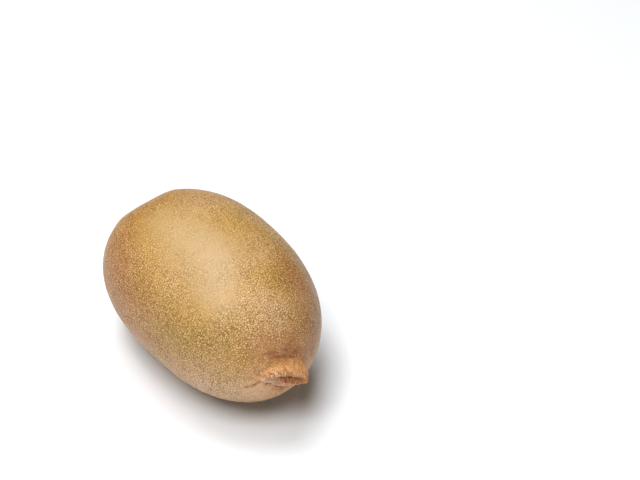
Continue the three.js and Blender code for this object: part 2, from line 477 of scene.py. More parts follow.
class Bench:
    """A fresh material's node tree, with short ways to add and join the nodes of a finish."""

    def __init__(self, name: str) -> None:
        """Makes a material with nothing in it but its output and one principled shader.

        Args:
            name: The material's name.
        """
        self.material = bpy.data.materials.new(name)
        self.material.use_nodes = True
        self.tree = self.material.node_tree
        self.tree.nodes.clear()
        output = self.tree.nodes.new("ShaderNodeOutputMaterial")
        self.shader = self.tree.nodes.new("ShaderNodeBsdfPrincipled")
        self.tree.links.new(self.shader.outputs["BSDF"], output.inputs["Surface"])

    def feed(self, socket: bpy.types.NodeSocket, value: object) -> None:
        """Joins an output to a socket, or sets the socket to a plain value.

        Args:
            socket: The socket that is fed.
            value: Another node's output, or a number or colour.
        """
        if isinstance(value, bpy.types.NodeSocket):
            self.tree.links.new(value, socket)
        else:
            socket.default_value = value

    def node(self, kind: str, settings: dict[str, str], **inputs: object) -> bpy.types.Node:
        """Adds a node, sets it up and feeds its inputs.

        Args:
            kind: Blender's name for the node.
            settings: Its settings, which are made first.
            **inputs: What each input is fed, with _ for a space in the input's name.

        Returns:
            The new node.
        """
        node = self.tree.nodes.new(kind)
        for name, choice in settings.items():
            setattr(node, name, choice)
        for name, value in inputs.items():
            self.feed(node.inputs[name.replace("_", " ")], value)
        return node

    def coords(self) -> bpy.types.NodeSocket:
        """Object coordinates, in metres."""
        return self.tree.nodes.new("ShaderNodeTexCoord").outputs["Object"]

    def zone(self, channel: str, layer: str = ZONE_LAYER) -> bpy.types.NodeSocket:
        """One channel of one of the piece's own colour attributes.

        Args:
            channel: Red, Green or Blue.
            layer: The attribute's name.

        Returns:
            The channel's value, from 0 to 1.
        """
        attribute = self.node("ShaderNodeAttribute", {"attribute_name": layer})
        split = self.node("ShaderNodeSeparateColor", {}, Color=attribute.outputs["Color"])
        return split.outputs[channel]

    def highlight_share(self) -> bpy.types.NodeSocket:
        """The share of highlight painted on the skin.

        Returns:
            1 less the tint attribute's alpha: 0 where no highlight is painted.
        """
        attribute = self.node("ShaderNodeAttribute", {"attribute_name": TINT_LAYER})
        return self.maths(Sum.LESS, 1.0, attribute.outputs["Alpha"])

    def clouds(
        self, at: object, scale: float, detail: float, rough: float, warp: float = 0.0
    ) -> bpy.types.NodeSocket:
        """Cloudy noise from 0 to 1.

        Args:
            at: The coordinates it follows.
            scale: Clouds to a metre.
            detail: How many finer layers it has.
            rough: How strong the finer layers are.
            warp: How far it is swirled.

        Returns:
            The noise's value.
        """
        look = {"Scale": scale, "Detail": detail, "Roughness": rough, "Distortion": warp}
        return self.node("ShaderNodeTexNoise", {}, Vector=at, **look).outputs["Fac"]

    def cells(self, at: object, scale: float) -> bpy.types.NodeSocket:
        """Scattered cells, such as the skin's pale dots.

        Args:
            at: The coordinates they follow.
            scale: Cells to a metre.

        Returns:
            The distance to the nearest edge between two cells, as a share of a cell.
        """
        edges = {"feature": "DISTANCE_TO_EDGE"}
        return self.node("ShaderNodeTexVoronoi", edges, Vector=at, Scale=scale).outputs["Distance"]

    def span(
        self, value: object, low: float, high: float, to: tuple[float, float] = (0.0, 1.0)
    ) -> bpy.types.NodeSocket:
        """Maps one span onto another with a smooth curve, held at its ends.

        Args:
            value: The value to map.
            low: The value that becomes the first of to.
            high: The value that becomes the second of to.
            to: What it is mapped onto.

        Returns:
            The mapped value.
        """
        smooth = {"interpolation_type": "SMOOTHSTEP"}
        ends = {"From_Min": low, "From_Max": high, "To_Min": to[0], "To_Max": to[1]}
        return self.node("ShaderNodeMapRange", smooth, Value=value, **ends).outputs["Result"]

    def maths(self, kind: Sum, first: object, second: object) -> bpy.types.NodeSocket:
        """One sum of two values.

        Args:
            kind: Which sum it is.
            first: The first value.
            second: The second value.

        Returns:
            The sum's result.
        """
        node = self.node("ShaderNodeMath", {"operation": kind.value})
        self.feed(node.inputs[0], first)
        self.feed(node.inputs[1], second)
        return node.outputs[0]

    def blend(self, share: object, under: object, over: object) -> bpy.types.NodeSocket:
        """Lays one colour over another.

        Args:
            share: How much of the upper colour shows, from 0 to 1.
            under: The lower colour.
            over: The upper colour.

        Returns:
            The blended colour.
        """
        node = self.node("ShaderNodeMix", {"data_type": "RGBA"}, Factor=share, A=under, B=over)
        return node.outputs["Result"]

    def bump(
        self, height: object, distance: float, strength: float, under: object = None
    ) -> bpy.types.NodeSocket:
        """Raises the surface by a height field, over another bump if one is given.

        Args:
            height: The field, 0 to 1.
            distance: How far 1 stands out, in metres.
            strength: How much of it shows.
            under: A normal that it is laid over.

        Returns:
            The bumped normal.
        """
        node = self.node("ShaderNodeBump", {}, Strength=strength, Distance=distance, Height=height)
        if under is not None:
            self.feed(node.inputs["Normal"], under)
        return node.outputs["Normal"]

    def finish(
        self, colour: object, roughness: object, normal: object = None, **constants: object
    ) -> bpy.types.Material:
        """Feeds the shader and hands the material over.

        Args:
            colour: Base colour.
            roughness: Roughness.
            normal: A bumped normal, if there is one.
            **constants: Plain values for the shader's own sockets, as Sheen_Weight=0.3.

        Returns:
            The finished material.
        """
        self.feed(self.shader.inputs["Base Color"], colour)
        self.feed(self.shader.inputs["Roughness"], roughness)
        if normal is not None:
            self.feed(self.shader.inputs["Normal"], normal)
        for name, value in constants.items():
            self.shader.inputs[name.replace("_", " ")].default_value = value
        return self.material


@dataclass(frozen=True)
class SkinFinish:
    """The fruit's thin dry skin: golden brown, close pale dots, olive and bronze clouds, with painted shade,
    light and highlight laid on from its layers.
    """

    gold: Colour = srgb(196, 152, 70)
    brown: Colour = srgb(182, 134, 58)
    olive: Colour = srgb(158, 126, 38)
    # bronze: the skin's own bronze tone, also laid on as painted shade and a painted brown reflection
    bronze: Colour = srgb(172, 110, 42)
    # pale: the skin's paler pinkish tone, also laid on as painted light and painted highlight
    pale: Colour = srgb(214, 174, 136)
    # the paler straw ground, laid where the highlight is painted
    highlight_straw: Colour = srgb(182, 148, 94)
    dot: Colour = srgb(228, 199, 150)
    pore: Colour = srgb(106, 68, 14)
    beak: Colour = srgb(202, 138, 74)
    beak_pale: Colour = srgb(222, 182, 144)
    # the dark brown of painted shade in furrows, wrinkles, grooves, the scar's pit and the dip over the
    # beak, and of the crater's dark mottles
    shade_and_mottle: Colour = srgb(136, 76, 34)
    cork: Colour = srgb(134, 102, 68)
    dots_per_metre: float = 1620.0
    roughness: float = 0.5

    def material(self) -> bpy.types.Material:
        """Builds the skin's material.

        Returns:
            The finished material.
        """
        bench = Bench("golden_skin")
        at = bench.coords()
        ground = self._ground(bench, at)
        # wear in clouds, less where the highlight is painted: the speckle fades and the roughness drops
        # there
        wear_less_highlight = bench.maths(Sum.LESS, bench.clouds(at, 150, detail=3, rough=0.6), bench.highlight_share())
        pores, dots = self._speckle(bench, at, wear_less_highlight)
        colour = bench.blend(dots, bench.blend(pores, ground, self.pore), self.dot)
        colour = bench.blend(bench.zone("Red"), colour, self._tissue(bench, at, pores, dots))
        colour = bench.blend(bench.zone("Blue"), colour, self.cork)
        # painted shade in furrows, wrinkles, grooves, the scar's pit and the dip over the beak, and the
        # crater's and the skin's dark mottles
        colour = bench.blend(bench.zone("Green"), colour, self.shade_and_mottle)
        roughness = bench.span(wear_less_highlight, 0.3, 0.7, to=(self.roughness - 0.05, self.roughness + 0.09))
        normal = bench.bump(dots, distance=0.00006, strength=0.6)
        grit = bench.clouds(at, 1500, detail=3, rough=0.6)
        return bench.finish(
            colour,
            roughness,
            bench.bump(grit, distance=0.00009, strength=0.6, under=normal),
            IOR=1.45,
            Specular_IOR_Level=0.55,
            Sheen_Weight=0.05,
            Sheen_Roughness=0.4,
            Sheen_Tint=(1.0, 0.9, 0.84, 1.0),
        )

    def _ground(self, bench: Bench, at: bpy.types.NodeSocket) -> bpy.types.NodeSocket:
        """The skin's colour under its dots: gold clouded with brown and olive, with bronze and pale patches
        that are partly painted shade and painted light, and paler straw where the highlight is painted.

        Args:
            bench: The skin's bench.
            at: Its coordinates.

        Returns:
            The ground's colour.
        """
        broad = bench.clouds(at, 42, detail=4, rough=0.6, warp=0.4)
        drift = bench.clouds(at, 90, detail=3, rough=0.6, warp=0.2)
        ground = bench.blend(bench.span(broad, 0.4, 0.66), self.gold, self.brown)
        ground = bench.blend(bench.maths(Sum.TIMES, bench.span(drift, 0.54, 0.7), 0.35), ground, self.olive)
        patchy = bench.span(drift, 0.3, 0.6, to=(0.55, 1.0))
        # olive is the skin's own tone; bronze is partly painted shade and reflection, pale partly painted
        # light and highlight
        for channel, patch in (("Red", self.olive), ("Green", self.bronze), ("Blue", self.pale)):
            share = bench.maths(Sum.TIMES, bench.zone(channel, TINT_LAYER), patchy)
            ground = bench.blend(share, ground, patch)
        # the ground turns paler straw where the highlight is painted
        return bench.blend(bench.span(bench.highlight_share(), 0.0, 0.5), ground, self.highlight_straw)

    def _speckle(
        self, bench: Bench, at: bpy.types.NodeSocket, wear_less_highlight: bpy.types.NodeSocket
    ) -> tuple[bpy.types.NodeSocket, bpy.types.NodeSocket]:
        """The close dots and the pores between them, fainter where the highlight is painted.

        Args:
            bench: The skin's bench.
            at: Its coordinates.
            wear_less_highlight: How rough the skin still is, less where the highlight is painted.

        Returns:
            The shares of dark pore and of pale dot.
        """
        grain = bench.clouds(at, self.dots_per_metre * 1.6, detail=2, rough=0.7, warp=0.3)
        grain = bench.maths(Sum.TIMES, bench.maths(Sum.LESS, grain, 0.5), 0.75)
        raised = bench.maths(Sum.ADD, bench.cells(at, self.dots_per_metre), grain)
        shown = bench.span(wear_less_highlight, -0.1, 0.6, to=(0.2, 1.0))
        pores = bench.maths(Sum.TIMES, bench.span(raised, 0.0, 0.2, to=(0.8, 0.0)), shown)
        dots = bench.maths(Sum.TIMES, bench.span(raised, 0.15, 0.42, to=(0.0, 0.58)), shown)
        return pores, dots

    def _tissue(
        self,
        bench: Bench,
        at: bpy.types.NodeSocket,
        pores: bpy.types.NodeSocket,
        dots: bpy.types.NodeSocket,
    ) -> bpy.types.NodeSocket:
        """The beak's drier tissue, blotched, with a fainter speckle and pale folds.

        Args:
            bench: The skin's bench.
            at: Its coordinates.
            pores: The share of dark pore.
            dots: The share of pale dot.

        Returns:
            The tissue's colour.
        """
        blotch = bench.span(bench.clouds(at, 420, detail=3, rough=0.6), 0.45, 0.7, to=(0.0, 0.6))
        tissue = bench.blend(blotch, self.beak, self.beak_pale)
        for share, speck in ((pores, self.pore), (dots, self.dot)):
            tissue = bench.blend(bench.maths(Sum.TIMES, share, 0.5), tissue, speck)
        return bench.blend(bench.zone("Blue", TINT_LAYER), tissue, self.beak_pale)


@dataclass(frozen=True)
class DriedFinish:
    """Something small that has dried on the fruit, such as a style or a sepal."""

    name: str
    dark: Colour
    light: Colour
    roughness: float = 0.8

    def material(self) -> bpy.types.Material:
        """Builds the dried material.

        Returns:
            The finished material.
        """
        bench = Bench(self.name)
        fibre = bench.clouds(bench.coords(), 1400, detail=3, rough=0.65)
        colour = bench.blend(bench.span(fibre, 0.35, 0.65), self.dark, self.light)
        normal = bench.bump(fibre, distance=0.0001, strength=0.7)
        return bench.finish(colour, self.roughness, normal, Sheen_Weight=0.15)


@dataclass(frozen=True)
class FloorFinish:
    """The studio's plain pale floor."""

    colour: Colour = (0.85, 0.87, 0.9, 1.0)

    def material(self) -> bpy.types.Material:
        """Builds the floor's material.

        Returns:
            The finished material.
        """
        bench = Bench("studio_floor")
        scuffs = bench.clouds(bench.coords(), 3, detail=2, rough=0.5)
        roughness = bench.span(scuffs, 0.3, 0.7, to=(0.72, 0.78))
        return bench.finish(self.colour, roughness, Specular_IOR_Level=0.15)


# ---------------------------------------------------------------------------------------------
# Pieces
# ---------------------------------------------------------------------------------------------


def make_piece(name: str, bm: bmesh.types.BMesh, material: bpy.types.Material) -> bpy.types.Object:
    """Turns a bmesh in frame millimetres into a smooth-shaded object in metres.

    Args:
        name: The piece's name.
        bm: The finished bmesh, which is freed.
        material: The piece's one material.

    Returns:
        The new object, at the origin and unturned.
    """
    bmesh.ops.scale(bm, vec=Vector((MM, MM, MM)), verts=bm.verts)
    mesh = bpy.data.meshes.new(name)
    bm.to_mesh(mesh)
    bm.free()
    mesh.materials.append(material)
    mesh.shade_smooth()
    piece = bpy.data.objects.new(name, mesh)
    bpy.context.scene.collection.objects.link(piece)
    return piece


def join(bm: bmesh.types.BMesh, part: bmesh.types.BMesh) -> None:
    """Adds a small bmesh to a larger one.

    Args:
        bm: The larger bmesh.
        part: The small bmesh, which is freed.
    """
    passing = bpy.data.meshes.new("passing")
    part.to_mesh(passing)
    part.free()
    bm.from_mesh(passing)
    bpy.data.meshes.remove(passing)


def ride_on_fruit(piece: bpy.types.Object) -> bpy.types.Object:
    """Lets a piece ride on the fruit's one body and stand for the solid.

    Args:
        piece: The piece.

    Returns:
        The same piece.
    """
    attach(piece, "root")
    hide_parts("fruit")
    return piece


@dataclass(frozen=True)
class Crease:
    """A fold, furrow or dip in the skin: its path, width and rise in millimetres, and its shades: dark is
    painted shade in it, pale its paler tone.
    """

    path: tuple[tuple[float, float, float], ...]
    width: float
    rise: float
    dark: float = 0.0
    pale: float = 0.0

    def nearness(self, point: Vector) -> float:
        """How near a point is to the crease.

        Args:
            point: The point, in frame millimetres.

        Returns:
            1 on the path, less beside it and towards its two ends.
        """
        best, place = math.inf, 0.0
        for index in range(len(self.path) - 1):
            start, end = Vector(self.path[index]), Vector(self.path[index + 1])
            run = end - start
            share = min(1.0, max(0.0, (point - start).dot(run) / run.length_squared))
            distance = (start + run * share - point).length
            if distance < best:
                best, place = distance, (index + share) / (len(self.path) - 1)
        fade = smoothstep(place, -0.05, 0.2) * (1 - smoothstep(place, 0.8, 1.05))
        return bell(best, self.width) * fade


CREASES = (
    Crease(  # the furrow at the left of the mouth, with painted shade in it
        ((30.2, -13.4, 18.6), (31.2, -12.5, 19.1), (32.3, -10.8, 19.9), (33.4, -9.5, 21.1)),
        width=0.4, rise=-0.3, dark=0.7
    ),
    Crease(  # the furrow that runs on under the mouth, with painted shade in it
        ((33.5, -8.8, 20.6), (33.8, -7.7, 19.6), (34.1, -5.7, 17.7), (34.1, -2.9, 15.8), (33.4, -0.4, 14.1)),
        width=0.45, rise=-0.4, dark=0.8
    ),
    Crease(  # the short furrow at the beak's left foot, with painted shade in it
        ((33.0, -8.9, 25.2), (34.4, -8.3, 24.6), (35.3, -8.1, 24.4), (35.9, -7.0, 24.0)),
        width=0.3, rise=-0.15, dark=0.7
    ),
    Crease(  # the pale fold between the furrow and the mouth
        ((33.3, -9.6, 22.6), (33.8, -8.9, 21.6), (34.1, -6.2, 18.5), (34.6, -3.1, 16.9)),
        width=0.6, rise=0.3, pale=0.9
    ),
    Crease(  # the dip over the beak: painted shade there, with darker mottles
        ((32.6, -7.5, 27.8), (33.6, -5.2, 27.6), (34.2, -2.6, 27.1), (34.6, -0.3, 25.8)),
        width=1.9, rise=-0.15, dark=0.34
    ),
    Crease(  # the first of three fine wrinkles in that dip, with painted shade in each
        ((31.8, -8.4, 28.8), (32.5, -6.4, 28.9), (33.1, -4.6, 28.6), (33.6, -3.2, 28.0)),
        width=0.4, rise=-0.15, dark=0.5
    ),
    Crease(
        ((33.3, -5.0, 27.3), (33.9, -3.2, 27.1), (34.3, -1.2, 26.5), (34.7, 0.8, 25.2)),
        width=0.4, rise=-0.15, dark=0.5
    ),
    Crease(
        ((33.3, -2.6, 28.8), (33.7, -0.8, 28.2), (34.0, 1.0, 27.0), (34.2, 2.4, 25.6)),
        width=0.4, rise=-0.12, dark=0.4
    ),
    Crease(  # the shade under the mouth
        ((33.2, -7.6, 18.0), (33.8, -5.4, 16.6), (33.6, -3.4, 14.6), (33.0, -1.6, 13.6)),
        width=0.8, rise=-0.1, dark=0.3
    ),
    Crease(  # the dip's painted shade, run down to the beak's right foot
        ((32.8, -1.5, 29.4), (33.8, 0.8, 27.2), (34.4, 2.6, 25.2), (33.4, 6.4, 22.0)),
        width=2.3, rise=-0.1, dark=0.36
    ),
)


@dataclass(frozen=True)
class StainAndLightPatch:
    """A soft-edged patch on the skin: how olive, bronze or pale it is, and its share of painted highlight
    (smooth). Olive is the skin's own tone; bronze and pale are partly its own tone and partly painted shade
    and painted light, as noted beside them.
    """

    place: tuple[float, float, float]
    reach: float
    olive: float = 0.0
    bronze: float = 0.0
    pale: float = 0.0
    smooth: float = 0.0

    def tint(self, point: Vector) -> Vector:
        """Its olive, bronze, pale and painted highlight shares at a point in frame millimetres."""
        shares = Vector((self.olive, self.bronze, self.pale, self.smooth))
        return shares * bell((point - Vector(self.place)).length, self.reach)


STAINS_AND_LIGHT_PATCHES = (
    # the near side, the top and round the beak
    # bronze on the near left side and top: its own bronze, deepened as painted shade on that side
    StainAndLightPatch((-26.9, -16.5, 36.2), 9.0, olive=0.2, bronze=0.8),
    StainAndLightPatch((-26.0, -9.5, 42.2), 6.0, olive=0.5, bronze=0.35),
    StainAndLightPatch((-26.5, -1.0, 43.0), 6.0, olive=0.5, bronze=0.35),
    StainAndLightPatch((-14.6, -21.7, 34.4), 8.0, olive=0.3, bronze=0.4),
    StainAndLightPatch((-7.5, -24.1, 29.6), 8.0, olive=0.5, bronze=0.3),
    StainAndLightPatch((5.0, -23.0, 31.0), 8.0, olive=0.6),
    StainAndLightPatch((15.0, -21.5, 30.5), 8.0, olive=0.5),
    StainAndLightPatch((23.5, -17.0, 31.0), 6.0, olive=0.6),
    StainAndLightPatch((20.5, 6.0, 41.0), 4.4, olive=1.1),
    StainAndLightPatch((23.0, -12.0, 36.0), 5.0, olive=0.4),
    # bronze along the far right edge and by the beak's right foot: painted shade and a painted brown
    # reflection, over its own bronze
    StainAndLightPatch((30.7, 9.1, 27.8), 8.0, bronze=0.7),
    StainAndLightPatch((33.2, 6.5, 22.5), 5.0, bronze=1.0),
    StainAndLightPatch((25.4, 11.7, 33.4), 8.0, bronze=0.4),
    StainAndLightPatch((14.0, 14.0, 38.5), 9.0, bronze=0.4),
    # bronze in the dip over the beak: painted shade there, over its own bronze mottles
    StainAndLightPatch((33.0, -4.8, 29.0), 4.5, bronze=1.0),
    StainAndLightPatch((34.4, -0.4, 27.0), 4.5, bronze=0.9),
    StainAndLightPatch((31.6, -3.5, 31.7), 5.0, bronze=0.4),
    # pale low on the near side by the beak: partly its paler tone, partly painted light bounced up from the
    # floor
    StainAndLightPatch((30.0, -12.0, 15.0), 8.0, pale=0.6),
    StainAndLightPatch((22.0, -18.0, 15.0), 8.0, pale=0.9),
    StainAndLightPatch((11.0, -21.0, 13.0), 12.0, bronze=0.1, pale=0.4),
    # bronze low on the near side: painted shade there, over its own bronze and paler tone
    StainAndLightPatch((-6.0, -23.0, 15.0), 13.0, bronze=0.8, pale=0.25),
    StainAndLightPatch((-20.0, -21.0, 26.0), 9.0, bronze=0.8),
    StainAndLightPatch((-2.0, -25.0, 25.0), 8.0, bronze=0.5),
    StainAndLightPatch((-13.0, -25.0, 26.0), 7.0, bronze=0.3),
    StainAndLightPatch((30.5, -9.5, 27.0), 5.0, bronze=0.6),
    # bronze at the top of the right edge: a painted brown reflection and painted shade
    StainAndLightPatch((19.0, 13.0, 38.0), 6.0, bronze=0.9),
    # pale across the top and the near side: painted highlight and painted light, paler where the light falls
    StainAndLightPatch((-13.0, 4.0, 46.5), 8.0, pale=0.5),
    StainAndLightPatch((-1.0, -15.5, 42.0), 7.0, pale=0.35),
    StainAndLightPatch((8.0, -19.0, 37.5), 7.0, pale=0.35),
    StainAndLightPatch((24.5, -17.0, 29.0), 6.0, pale=0.25),
    StainAndLightPatch((18.5, -16.0, 36.5), 5.0, pale=0.2),
    StainAndLightPatch((28.5, -10.0, 32.5), 5.0, bronze=0.3, pale=0.2),
    StainAndLightPatch((-12.5, -20.0, 38.0), 6.0, pale=0.25),
    # pale on the right of the top: painted light on that side, with painted highlight where smooth is set
    StainAndLightPatch((10.5, 5.5, 44.8), 7.5, pale=0.5, smooth=0.15),
    StainAndLightPatch((23.0, -3.0, 39.2), 6.0, pale=0.45),
    StainAndLightPatch((28.5, -1.0, 36.0), 6.0, pale=0.6, smooth=0.1),
    StainAndLightPatch((25.0, 8.0, 35.0), 6.0, pale=0.25),
    # the back, the stem end and the underside
    StainAndLightPatch((-22.0, 17.0, 33.0), 12.0, bronze=0.3, pale=0.4),
    StainAndLightPatch((-4.0, 23.0, 32.0), 12.0, bronze=0.25, pale=0.4),
    StainAndLightPatch((-14.0, 23.0, 16.0), 12.0, bronze=0.4, pale=0.35),
    StainAndLightPatch((10.0, 24.0, 20.0), 13.0, bronze=0.3, pale=0.4),
    StainAndLightPatch((26.0, 13.0, 17.0), 12.0, bronze=0.35, pale=0.35),
    StainAndLightPatch((-36.0, 3.0, 24.0), 13.0, bronze=0.35, pale=0.4),
    StainAndLightPatch((-26.0, 0.0, 6.0), 14.0, bronze=0.3, pale=0.35),
    StainAndLightPatch((-2.0, 6.0, 1.0), 14.0, bronze=0.25, pale=0.4),
    StainAndLightPatch((20.0, 0.0, 4.0), 14.0, bronze=0.3, pale=0.4),
    # painted highlight along the top: the speckle fades and the ground turns paler straw there
    StainAndLightPatch((-16.0, -8.0, 45.0), 9.0, smooth=0.3),
    StainAndLightPatch((-3.0, -6.0, 45.5), 11.0, smooth=0.35),
    StainAndLightPatch((8.0, -8.0, 43.5), 10.0, smooth=0.35),
    StainAndLightPatch((15.0, -12.0, 40.0), 7.0, smooth=0.25),
)


@dataclass(frozen=True)
class Touch:
    """How the skin is at one point: its rise in millimetres and the shares of its finishes. Its dark share
    is mostly painted shade in furrows, grooves and dips, with dark mottles of its own.
    """

    rise: float
    tissue: float = 0.0
    dark: float = 0.0
    cork: float = 0.0
    pale: float = 0.0


@dataclass
class Skin:
    """The whole skin as one closed piece: body, scar, beak, rim and crater.

    Its heights and depths are in millimetres, and waviness holds each layer's size and height.
    """

    form: FruitForm = field(default_factory=FruitForm)
    finish: SkinFinish = field(default_factory=SkinFinish)
    around: int = 320
    waviness: tuple[tuple[float, float], ...] = ((13.0, 0.12), (2.4, 0.05), (0.9, 0.02))
    cork_edge: tuple[float, float] = (4.6, 3.4)
    cork_height: float = 0.2
    groove_height: float = 0.1
    pucker_height: float = 0.04
    beak_lumps: float = 0.12
    wrinkle_depth: float = 0.06
    apron_tissue: float = 0.62
    ridge_height: float = 0.05
    fold_height: float = 0.14
    lip_lumps: float = 0.1
    crater_lumps: float = 0.45

    def build(self) -> bpy.types.Object:
        """Builds, raises and dresses the skin.

        Returns:
            The finished piece.
        """
        rings = sum(zone.value for zone in Zone)
        stations = [self.form.station(index / rings) for index in range(rings + 1)]
        bm = bmesh.new()
        for layer in (ZONE_LAYER, TINT_LAYER):
            bm.verts.layers.float_color.new(layer)
        zones, tints = (bm.verts.layers.float_color[layer] for layer in (ZONE_LAYER, TINT_LAYER))
        bmesh.ops.create_uvsphere(bm, u_segments=self.around, v_segments=rings, radius=1.0)
        places: dict[bmesh.types.BMVert, tuple[Station, float]] = {}
        for vert in bm.verts:
            polar = math.acos(min(1.0, max(-1.0, vert.co.z)))
            station = stations[round(polar / math.pi * rings)]
            angle = -math.atan2(vert.co.y, vert.co.x)
            places[vert] = (station, angle)
            vert.co = self.form.place(station, angle)
        bm.normal_update()
        moves: dict[bmesh.types.BMVert, Vector] = {}
        for vert, (station, angle) in places.items():
            touch = self.touch(station, angle, vert.co)
            moves[vert] = vert.normal * touch.rise
            # the zone layer: tissue, dark (painted shade and dark mottles) and cork
            vert[zones] = (touch.tissue, min(1.0, max(0.0, touch.dark)), touch.cork, 1.0)
            # the tint layer: olive, bronze (partly painted shade and reflection), pale (partly painted
            # light) and, as 1 less its alpha, the painted highlight's share
            tinted = sum((patch.tint(vert.co) for patch in STAINS_AND_LIGHT_PATCHES), Vector((0, 0, touch.pale, 0)))
            olive, bronze, light, smooth = (min(1.0, share) for share in tinted)
            vert[tints] = (olive, bronze, light, 1.0 - smooth)
        for vert, move in moves.items():
            vert.co += move
            vert.co.z = max(vert.co.z, 0.0)
        piece = make_piece("fruit_skin", bm, self.finish.material())
        return ride_on_fruit(piece)

    def touch(self, station: Station, angle: float, point: Vector) -> Touch:
        """How far the skin stands out at a point, and how it is finished there.

        Args:
            station: The point's ring.
            angle: The point's angle round the ring.
            point: The point before it is raised, in frame millimetres.

        Returns:
            The skin's rise and finishes.
        """
        rise = sum(lumps(point, size, height) for size, height in self.waviness)
        if station.zone is Zone.SCAR:
            return self._scar(station.radius, angle, point, rise)
        if station.zone in (Zone.STEM_HALF, Zone.BEAK_HALF):
            return Touch(rise)
        if station.zone is Zone.APRON:
            near = smoothstep(station.part, 0, 1)
            creased = self._creased(near, angle, point, rise)
            return replace(creased, tissue=self.apron_tissue * near)
        return self._beak(station, angle, point, self._creased(1.0, angle, point, rise))

    def _scar(self, radius: float, angle: float, point: Vector, rise: float) -> Touch:
        """The corky stem scar: rough and grooved, with painted shade in its pit and grooves.

        Args:
            radius: The point's distance from the axis.
            angle: The point's angle round the axis.
            point: The point, in frame millimetres.
            rise: How far the skin's own waviness raises it.

        Returns:
            The skin's rise and finishes.
        """
        cork = smoothstep(radius + lumps(point, 1.5, 0.9), *self.cork_edge)
        grooves = ripple(angle, 23, lumps(point, 1.2, 3))
        rise += cork * (lumps(point, 0.6, self.cork_height) + self.groove_height * grooves)
        pit = smoothstep(radius, 2.0, 0.8)
        # painted shade in the pit and at the bottoms of the cork's grooves
        return Touch(rise, dark=0.8 * pit + 0.4 * cork * smoothstep(-grooves, 0.0, 1.0), cork=cork)

    def _creased(self, near: float, angle: float, point: Vector, rise: float) -> Touch:
        """The puckered and creased skin round the beak, with painted shade in its wrinkles and creases.

        Args:
            near: How near the beak the point is, from 0 to 1.
            angle: The point's angle round the axis.
            point: The point, in frame millimetres.
            rise: How far the skin's own waviness raises it.

        Returns:
            The skin's rise and shades.
        """
        pucker = ripple(angle, 29, lumps(point, 4, 3))
        rise += self.pucker_height * near * pucker + lumps(point, 1.6, self.beak_lumps * near)
        wrinkle = bell(lumps(point, 1.7), 0.07) * smoothstep(lumps(point, 5), -0.2, 0.2)
        rise -= self.wrinkle_depth * near * wrinkle
        blotch = smoothstep(lumps(point, 2.2) + lumps(point, 0.8, 0.5), 0.15, 0.55)
        # painted shade in the wrinkles, and darker blotches of the skin's own
        dark, pale = near * (0.45 * wrinkle + 0.3 * blotch), 0.0
        mottle = 1 + lumps(point, 0.9, 1.1)
        # each crease adds its rise, its painted shade, mottled, and its paler tone
        for crease in CREASES:
            close = crease.nearness(point)
            rise += crease.rise * close
            dark += crease.dark * close * mottle
            pale += crease.pale * close
        return Touch(rise, dark=dark, pale=pale)

    def _beak(self, station: Station, angle: float, point: Vector, skin: Touch) -> Touch:
        """The beak: its ridged wall, ragged lip and rough crater, folded shut at the mouth's left end, with
        painted shade between its ridges and in its folds.

        Args:
            station: The point's ring.
            angle: The point's angle round the mouth.
            point: The point, in frame millimetres.
            skin: The creased skin there.

        Returns:
            The beak's rise and finishes.
        """
        up = station.part if station.zone is Zone.WALL else 1.0
        ridges = ripple(angle, 52, lumps(point, 2, 2.5))
        rise, dark, pale = skin.rise, skin.dark, skin.pale
        rise += smoothstep(up, 0.5, 0.95) * (self.ridge_height * ridges + lumps(point, 0.6, 0.06))
        # painted shade between the ridges near the rim
        dark += 0.45 * smoothstep(up, 0.7, 1.0) * smoothstep(-ridges, 0.0, 1.0)
        folded = smoothstep(-math.cos(angle), 0.0, 0.6)
        folds = ripple(angle, 17, lumps(point, 1.5, 3))
        furrow = smoothstep(-folds, 0.1, 0.9)
        if station.zone is Zone.LIP:
            rise += lumps(point, 0.5, self.lip_lumps) + self.fold_height * folded * folds
            pale += 0.8 * smoothstep(-math.sin(angle), 0, 0.5) + 0.6 * folded * (1 - furrow)
            # painted shade in the fold's furrows
            dark += 0.4 * folded * furrow
        elif station.zone is Zone.CRATER:
            closed = folded * smoothstep(1 - station.part, 0.1, 0.7)
            rise += lumps(point, 0.7, self.crater_lumps) + self.fold_height * closed * folds
            pale += 0.8 * closed * (1 - furrow)
            # the crater's own dark mottles, and painted shade in its furrows where it is folded shut
            dark = (0.14 + lumps(point, 0.7, 1.8)) * (1 - 0.7 * closed) + 0.5 * closed * furrow
        tissue = self.apron_tissue + (1 - self.apron_tissue) * smoothstep(up, 0.05, 0.5)
        return Touch(rise, tissue, dark, pale=pale)


